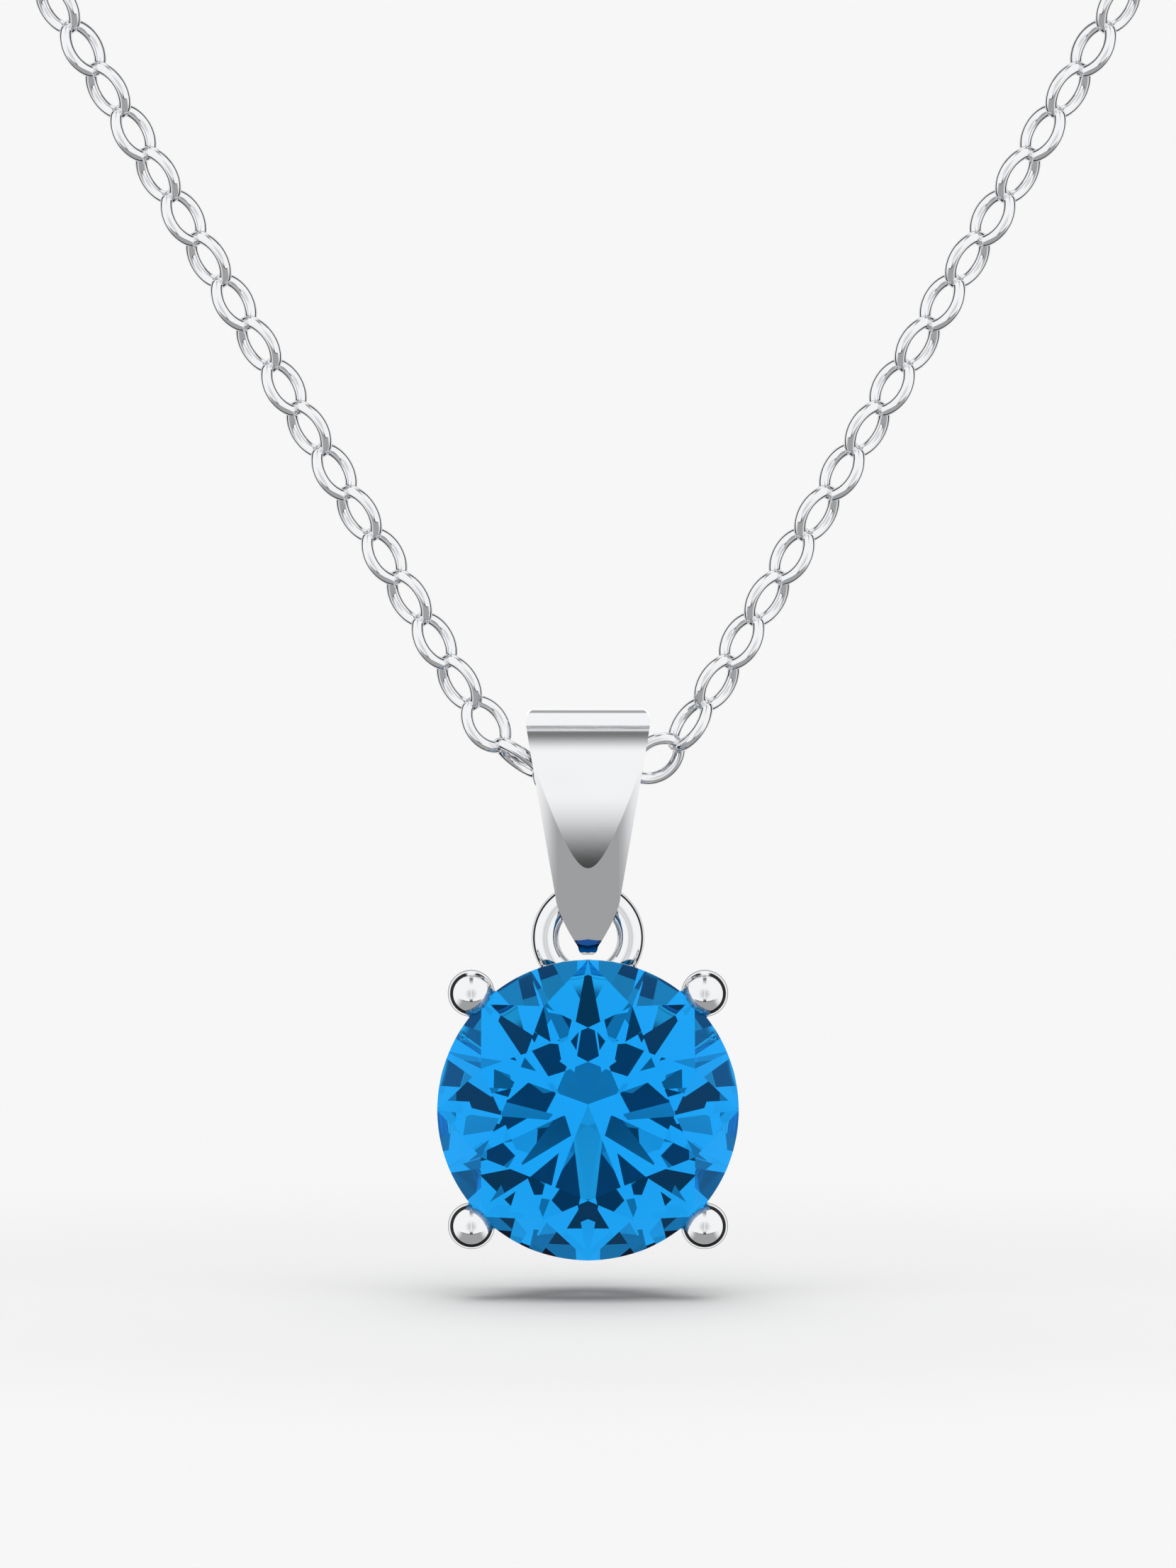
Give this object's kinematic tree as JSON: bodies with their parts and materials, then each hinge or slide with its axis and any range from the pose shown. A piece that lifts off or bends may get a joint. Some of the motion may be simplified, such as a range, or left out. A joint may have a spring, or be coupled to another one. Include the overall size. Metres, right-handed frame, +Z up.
{
  "type": "pendant necklace",
  "caption": "Round faceted blue stone in a ball-prong basket, hung by a wire loop and a tapered bail on an oval-link cable chain with a spring-ring clasp.",
  "frame": {"origin": "midway between the two points that hold the strands of the V", "axes": "+Z up along the hang, -Y out of the stone's face, +X to the viewer's right"},
  "size_m": [0.0334, 0.006, 0.057],
  "materials": {
    "stone": "polished facets",
    "silver": "polished, rhodium plated",
    "spring_steel": "drawn wire",
    "tie_paper": "matt paper over wire"
  },
  "bodies": {
    "necklace": {"chain_left_strand": "silver", "chain_right_strand": "silver", "chain_left_lead": "silver", "chain_right_lead": "silver", "chain_left_coil": "silver", "chain_right_coil": "silver", "left_jump_ring": "silver", "clasp_eye": "silver", "clasp_case": "silver", "clasp_end_ring": "silver", "right_jump_ring": "silver", "clasp_spring": "spring_steel", "coil_tie_left": "tie_paper", "coil_tie_right": "tie_paper"},
    "bail": {"bail": "silver"},
    "pendant": {"stone": "stone", "prong_upper_left": "silver", "prong_upper_right": "silver", "prong_lower_left": "silver", "prong_lower_right": "silver", "upper_gallery_rail": "silver", "lower_gallery_rail": "silver", "pendant_loop": "silver"},
    "clasp_bolt": {"clasp_bolt": "silver", "clasp_knob": "silver"}
  },
  "joints": [
    {"name": "bail_swing", "type": "hinge", "parent": "necklace", "child": "bail", "pos_m": [0, 0, -0.02204], "axis": [1, 0, 0], "range_deg": [-60, 60]},
    {"name": "pendant_sway", "type": "hinge", "parent": "bail", "child": "pendant", "pos_m": [0, 0, -0.02644], "axis": [0, 1, 0], "range_deg": [-50, 50]},
    {"name": "clasp_bolt_turn", "type": "hinge", "parent": "necklace", "child": "clasp_bolt", "pos_m": [0, 0, 0.0135], "axis": [0, -1, 0], "range_deg": [0, 60], "stiffness_Nm_per_rad": 0.004, "springref_deg": -11.46, "deforming": ["clasp_spring"]}
  ]
}
